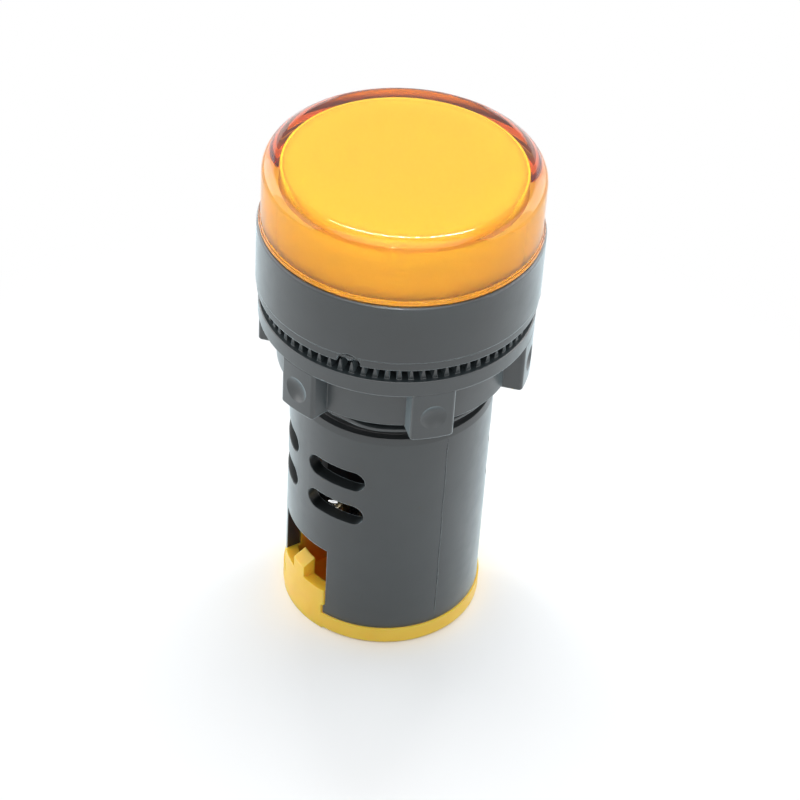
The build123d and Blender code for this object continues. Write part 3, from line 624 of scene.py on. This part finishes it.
seam = {"radiusMm": 10.65, "beadMm": 0.045, "lowMm": 2.35, "highMm": 27.7, "degrees": (-90.0, 90.0), "waveMm": 0.03,
        "rows": 90, "taperMm": 1.5, "flatness": 1.3, "swell": ((0.25, 1.7), (0.15, 4.3)), "waveRate": 0.9}
witness = {"radiusMm": 14.42, "levelMm": 41.66, "beadMm": 0.055, "ragMm": 0.10, "seed": 7, "segments": 1440,
           "waves": (7, 13, 22, 37, 61, 97), "evenness": 2.2, "swell": 0.5}
roundSection = np.linspace(0, 2 * np.pi, 9)[:-1][None]  # the angles t of a bead's section


def makeSeam(number, degrees):
    # a half-sunk bead up the barrel: the section's angle t gives (flatness x bead cos t, bead sin t) across and out;
    # the bead swells by 1 + the sum of size x sin(rate x level), and tapers at its ends
    level, t = np.linspace(seam["lowMm"], seam["highMm"], seam["rows"])[:, None], roundSection
    ends = np.clip(np.minimum(level - seam["lowMm"], seam["highMm"] - level) / seam["taperMm"], 0.02, 1)
    swell = 1
    for size, rate in seam["swell"]:
        swell = swell + size * np.sin(level * rate)
    reach = seam["beadMm"] * ends * swell
    across = seam["flatness"] * reach * np.cos(t) + seam["waveMm"] * np.sin(level * seam["waveRate"] + number)
    radius = seam["radiusMm"] + reach * np.sin(t)
    angle = math.radians(degrees) + across / seam["radiusMm"]
    grid = np.stack([radius * np.cos(angle), radius * np.sin(angle), level + 0 * t], -1)
    mesh = gridMesh("barrel_seam_%d" % number, grid, roundColumns=True, sharpDegrees=80)
    addPiece(mesh, housingAbs, "housing", "black_abs")


def makeWitness():
    # a ring bead round the bezel's step: its level and thickness follow the sum of sin(wave x angle + start), with
    # seeded sizes and starts
    draw = np.random.default_rng(witness["seed"])
    angle, t = np.arange(witness["segments"])[:, None] * 2 * np.pi / witness["segments"], roundSection
    waves = np.array(witness["waves"])[None]
    size = draw.uniform(0.4, 1.0, waves.shape) / np.sqrt(waves / waves[0, 0])
    ragged = (size * np.sin(waves * angle + draw.uniform(0, 6.28, waves.shape))).sum(1, keepdims=True)
    ragged = ragged / witness["evenness"]
    bead = witness["beadMm"] * (1 + witness["swell"] * np.clip(ragged, -1, 1))
    radius = witness["radiusMm"] + bead * np.cos(t)
    level = witness["levelMm"] - witness["ragMm"] * np.clip(ragged, 0, 1.5) + bead * np.sin(t)
    grid = np.stack([radius * np.cos(angle), radius * np.sin(angle), level], -1)
    mesh = gridMesh("bezel_witness_line", grid, roundRows=True, roundColumns=True, sharpDegrees=80)
    addPiece(mesh, housingAbs, "housing", "black_abs")


for number, degrees in enumerate(seam["degrees"], 1):
    makeSeam(number, degrees)
makeWitness()
print("threads and moulding marks made")


# Solder on the outer faces of the two upright legs

# each bead is the middle of its front, then half its width and half its height, all in mm
solder = {"backMm": 7.7, "leastMm": 0.02, "crownMm": 0.04, "front": (0.446, 0.636, 0.629),
          "across": (0.819, -0.574, 0.0), "wobble": (0.07, 0.04),
          "beads": ((8.12, 2.19, 16.17, 0.55, 0.30), (8.33, 2.50, 15.62, 0.42, 0.24))}


def makeSolder(side, turn):
    # two beads run into each other on the leg: each front is an oval that looks up and out, crowned by
    # crown x (1 - r to the fourth), and its sides run straight back into the leg
    rings = np.linspace(0, 1, 10)[:, None]
    angle = np.linspace(0, 2 * np.pi, 29)[:-1][None]
    front, across = np.array(solder["front"]), np.array(solder["across"])
    rise = np.cross(front, across)
    for number, (x, y, z, halfWidth, halfHeight) in enumerate(solder["beads"], 1):
        wobble = rings * (1 + solder["wobble"][0] * np.sin(2 * angle + number)
                          + solder["wobble"][1] * np.sin(3 * angle + 2 * number))
        crown = solder["crownMm"] * (1 - rings ** 4) + 0 * angle
        dome = (np.array([x, y, z]) + crown[..., None] * front
                + (halfWidth * wobble * np.cos(angle))[..., None] * across
                + (halfHeight * wobble * np.sin(angle))[..., None] * rise)
        back = dome[-1:].copy()
        back[..., 0] = np.minimum(solder["backMm"], back[..., 0] - solder["leastMm"])
        grid = np.concatenate([dome, back], 0) * np.array([turn, turn, 1])
        mesh = gridMesh("solder_bead_%s_%d" % (side, number), grid, roundColumns=True, sharpDegrees=70)
        addPiece(mesh, setSolder, "housing", "terminal_brass")


for side, turn in (("right", 1), ("left", -1)):
    makeSolder(side, turn)
print("solder beads made")


# Floor, world, lamps and camera

floor = {"halfMm": 3000, "levelMm": -0.02, "colour": "#F1F4F6", "baseShare": 0.05, "nearMm": 8.0, "farMm": 72.0}


def makeFloor():
    # a plain pale sheet that fades to white away from the object
    side = np.linspace(-floor["halfMm"], floor["halfMm"], 3)
    grid = np.stack([*np.meshgrid(side, side, indexing="ij"), np.full((3, 3), floor["levelMm"])], -1)
    mesh = gridMesh("floor_sheet", grid)
    sheet = bpy.data.objects.new("floor_sheet", mesh)
    scene.collection.objects.link(sheet)
    material, tree, place = startMaterial("matt white paper")
    radius = addNode(tree, "VectorMath", {}, {0: place}, operation="LENGTH")
    fade = addNode(tree, "MapRange", {"From Min": floor["nearMm"], "From Max": floor["farMm"],
                                      "To Min": floor["baseShare"], "To Max": 1.0},
                   {"Value": radius.outputs["Value"]}, interpolation_type="SMOOTHSTEP")
    share = addNode(tree, "Math", {}, {0: fade, 1: seenDirectly(tree)}, operation="MULTIPLY")
    paper = addNode(tree, "BsdfDiffuse", {"Color": floor["colour"]})
    white = addNode(tree, "Emission", {"Color": "#FFFFFF", "Strength": 1.0})
    mixed = addNode(tree, "MixShader", {}, {0: share, 1: paper, 2: white})
    addNode(tree, "OutputMaterial", {}, {"Surface": mixed})
    mesh.materials.append(material)


sky = {"level": 0.36}


def makeWorld():
    # a soft even sky; the camera, gloss and glass see it as white
    world = bpy.data.worlds.new("studio sky")
    scene.world = world
    world.use_nodes = True
    tree = world.node_tree
    tree.nodes.clear()
    strength = addNode(tree, "MapRange", {"To Min": sky["level"], "To Max": 1.0}, {"Value": seenDirectly(tree)})
    white = addNode(tree, "Background", {"Color": "#FFFFFF"}, {"Strength": strength})
    addNode(tree, "OutputWorld", {}, {"Surface": white})


# The camera's level axes give the lamps' places: right, ahead and up, in mm
cameraView = {"azimuth": -35.0, "elevation": 39.36, "roll": 3.65, "lensMm": 112.5, "sensorMm": 36.0, "rightMm": 2.18,
              "upMm": 19.47, "backMm": 279.51, "nearestMm": 10}
lamps = {
    "top softbox": {"place": (-60, 60, 420), "target": (0, 0, 40), "sizeMm": (380, 380), "watts": 0.06},
    "near key": {"place": (0, -80, 150), "target": (0, -10, 50), "sizeMm": (220, 100), "watts": 0.09},
    "front fill": {"place": (60, -380, 160), "target": (0, 0, 25), "sizeMm": (260, 200), "watts": 0.06},
    "left panel": {"place": (-260, 60, 90), "target": (0, 0, 30), "sizeMm": (420, 260), "watts": 0.46},
    "right panel": {"place": (260, 60, 90), "target": (0, 0, 30), "sizeMm": (420, 260), "watts": 0.36},
    "back left panel": {"place": (-190, 230, 100), "target": (0, 0, 30), "sizeMm": (360, 260), "watts": 0.45},
    "back right panel": {"place": (190, 230, 100), "target": (0, 0, 30), "sizeMm": (360, 260), "watts": 0.46},
}
strip = {"count": 18, "firstMm": -56.0, "stepMm": 7.0, "aheadMm": 69.0, "bend": 0.0075, "midMm": 4.0, "highMm": 258,
         "target": (0, 0, 50), "slant": 0.12, "sizeMm": ((4.2, 34.0), (2.6, 16.0)), "watts": (0.021, 0.007)}
snoot = {"place": (-10, -110, 125), "target": (0, -6, 62), "radiusMm": 2.0, "coneDegrees": 15.6, "blend": 0.35,
         "watts": 1.15}
level = np.array([math.cos(math.radians(cameraView["azimuth"])), math.sin(math.radians(cameraView["azimuth"])), 0])
ahead = np.array([-level[1], level[0], 0])
upright = np.array([0.0, 0.0, 1.0])


def fromLevel(place):
    # a point given to the right, ahead and up, in the object's frame
    return (place[0] * level + place[1] * ahead + place[2] * upright) * mm


def aimed(where, back, top):
    # the matrix of something at where whose own Z is back and whose own Y is nearest to top
    back = back / np.linalg.norm(back)
    side = np.cross(top, back)
    side /= np.linalg.norm(side)
    columns = np.stack([side, np.cross(back, side), back, where], 1)
    return Matrix(np.vstack([columns, [0, 0, 0, 1]]).tolist())


def hangLamp(data, place, target, top):
    # a lamp at its place, turned to its target
    lamp = bpy.data.objects.new(data.name, data)
    scene.collection.objects.link(lamp)
    where = fromLevel(place)
    lamp.matrix_world = aimed(where, where - fromLevel(target), top)


def addPanel(name, look, top):
    data = bpy.data.lights.new(name, "AREA")
    data.shape = "RECTANGLE"
    data.size, data.size_y = look["sizeMm"][0] * mm, look["sizeMm"][1] * mm
    data.energy = look["watts"]
    hangLamp(data, look["place"], look["target"], top)


def addStrips():
    # a bowed row of long and short lamps, whose reflections are the chain of glints on the lens rim: a lamp's place
    # ahead is ahead + bend x (its place to the right - mid) squared
    for i in range(strip["count"]):
        x = strip["firstMm"] + i * strip["stepMm"]
        place = (x, strip["aheadMm"] + strip["bend"] * (x - strip["midMm"]) ** 2, strip["highMm"])
        addPanel("strip %d" % i, {"place": place, "target": strip["target"], "sizeMm": strip["sizeMm"][i % 2],
                                  "watts": strip["watts"][i % 2]}, ahead - strip["slant"] * level)


def addSpot(name, look):
    data = bpy.data.lights.new(name, "SPOT")
    data.energy, data.shadow_soft_size = look["watts"], look["radiusMm"] * mm
    data.spot_size, data.spot_blend = math.radians(look["coneDegrees"]), look["blend"]
    hangLamp(data, look["place"], look["target"], upright)


def makeCamera(view):
    lift, tilt = math.radians(view["elevation"]), math.radians(view["roll"])
    forward = ahead * math.cos(lift) - upright * math.sin(lift)
    above = ahead * math.sin(lift) + upright * math.cos(lift)
    right = math.cos(tilt) * level + math.sin(tilt) * above
    top = math.cos(tilt) * above - math.sin(tilt) * level
    data = bpy.data.cameras.new("camera")
    data.sensor_width = view["sensorMm"]
    data.lens = view["lensMm"]
    data.clip_start = view["nearestMm"] * mm
    camera = bpy.data.objects.new("camera", data)
    scene.collection.objects.link(camera)
    where = (view["rightMm"] * right + view["upMm"] * top - view["backMm"] * forward) * mm
    camera.matrix_world = aimed(where, -forward, top)
    scene.camera = camera


makeFloor()
makeWorld()
for name, lamp in lamps.items():
    addPanel(name, lamp, ahead if name == "top softbox" else upright)
addStrips()
addSpot("lens spot", snoot)  # narrow, on the lens cap alone
makeCamera(cameraView)
scene.view_settings.view_transform = "Standard"
print("floor, lamps and camera set")
